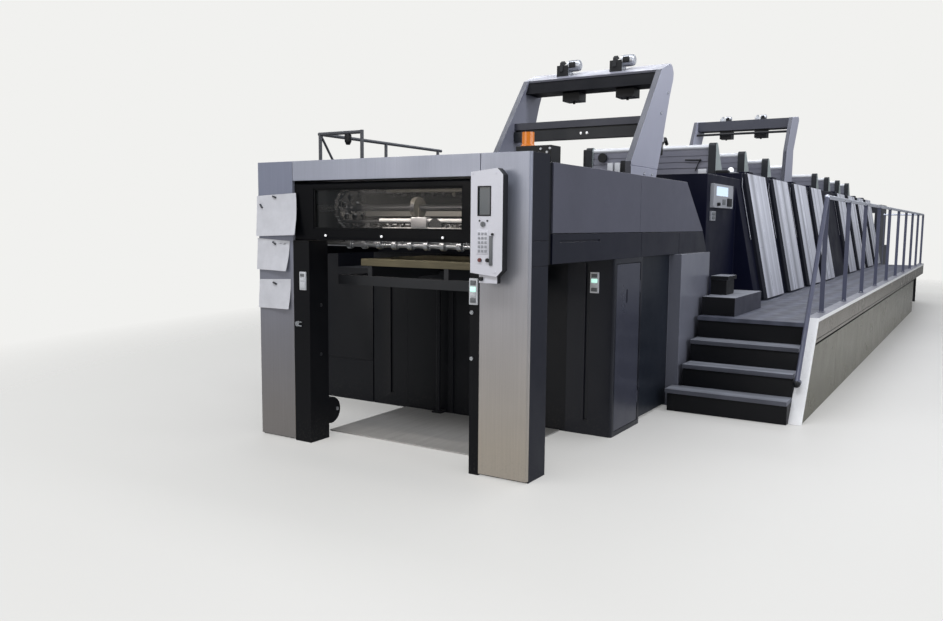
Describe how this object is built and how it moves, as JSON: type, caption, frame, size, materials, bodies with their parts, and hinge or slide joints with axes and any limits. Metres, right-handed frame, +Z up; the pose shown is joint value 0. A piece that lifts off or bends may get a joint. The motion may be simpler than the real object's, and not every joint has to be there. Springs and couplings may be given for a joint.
{
  "type": "offset printing press",
  "caption": "Long sheetfed offset printing press: delivery portal with window guard and pile lift, coating and printing units with slanted covers, feeder, hoist arches and railed galleries.",
  "frame": {"origin": "on the floor under the middle of the press", "axes": "+Z up, +Y along the press from the delivery to the feeder, +X to the operator side"},
  "size_m": [4.916, 20.734, 3.6276],
  "materials": {
    "frame_black": "satin black powder coat",
    "front_grey": "brushed grey metallic paint",
    "guard_black": "satin black powder coat",
    "guard_glass": "clear safety glass",
    "shaft_steel": "ground steel",
    "brake_steel": "ground steel",
    "carrier_grey": "grey paint, rubbed",
    "board_wood": "pressed board",
    "floor_steel": "worn steel plate",
    "wall_black": "satin black paint",
    "hood_dark": "dark textured paint",
    "body_dark": "dark textured paint",
    "cabinet_dark": "dark blue grey satin paint",
    "cover_dark": "dark blue grey satin paint",
    "band_dark": "dark blue grey satin paint",
    "flank_grey": "grey satin paint",
    "panel_white": "white moulded plastic",
    "box_black": "black plastic",
    "beacon_orange": "orange lens",
    "roof_rail_grey": "dark grey paint",
    "arch_grey": "light grey satin paint",
    "beam_dark": "dark satin paint",
    "coater_dark": "dark satin paint",
    "display_grey": "light grey plastic",
    "unit_dark": "dark satin paint",
    "cover_silver": "brushed and lacquered aluminium",
    "roller_steel": "steel and grey rubber",
    "feeder_dark": "dark satin paint",
    "feeder_black": "black paint",
    "gallery_floor": "grey ribbed floor covering",
    "kerb_light": "light grey metallic paint",
    "skirt_olive": "grey brown metallic paint",
    "rail_grey": "blue grey paint",
    "support_dark": "black paint",
    "tread_grey": "grey ribbed tread covering"
  },
  "bodies": {
    "press": {"delivery_frame": "frame_black", "front_panels": "front_grey", "chain_shaft": "shaft_steel", "sheet_brake": "brake_steel", "pile_floor_plate": "floor_steel", "pile_rear_wall": "wall_black", "delivery_hood": "hood_dark", "delivery_body": "body_dark", "side_cabinets": "cabinet_dark", "lower_side_covers": "cover_dark", "side_bands": "band_dark", "upper_side_panels": "flank_grey", "control_panel": "panel_white", "beacon_box": "box_black", "warning_beacon": "beacon_orange", "roof_rail": "roof_rail_grey", "hoist_arch_front": "arch_grey", "hoist_arch_rear": "arch_grey", "hoist_beams": "beam_dark", "coating_unit": "coater_dark", "unit_display": "display_grey", "printing_unit_1": "unit_dark", "printing_unit_2": "unit_dark", "printing_unit_3": "unit_dark", "printing_unit_4": "unit_dark", "perfecting_unit": "unit_dark", "printing_unit_5": "unit_dark", "printing_unit_6": "unit_dark", "printing_unit_7": "unit_dark", "printing_unit_8": "unit_dark", "unit_covers": "cover_silver", "unit_rollers": "roller_steel", "feeder_frame": "feeder_dark", "feeder_head": "feeder_black", "gallery_floors": "gallery_floor", "gallery_kerbs": "kerb_light", "gallery_skirts": "skirt_olive", "gallery_rails": "rail_grey", "gallery_supports": "support_dark", "stair_treads": "tread_grey"},
    "guard": {"window_guard": "guard_black", "guard_glass": "guard_glass"},
    "pile_lift": {"pile_carrier": "carrier_grey", "pile_board": "board_wood"},
    "door": {"cabinet_door": "cabinet_dark"}
  },
  "joints": [
    {"name": "guard_hinge", "type": "hinge", "parent": "press", "child": "guard", "pos_m": [0, -10.194, 2.01], "axis": [-1, 0, 0], "range_deg": [0, 85]},
    {"name": "pile_lift_slide", "type": "slide", "parent": "press", "child": "pile_lift", "axis": [0, 0, 1], "range_m": [-1.2, 0]},
    {"name": "cabinet_door_hinge", "type": "hinge", "parent": "press", "child": "door", "pos_m": [1.228, -8.208, 0], "axis": [0, 0, 1], "range_deg": [0, 100]}
  ]
}
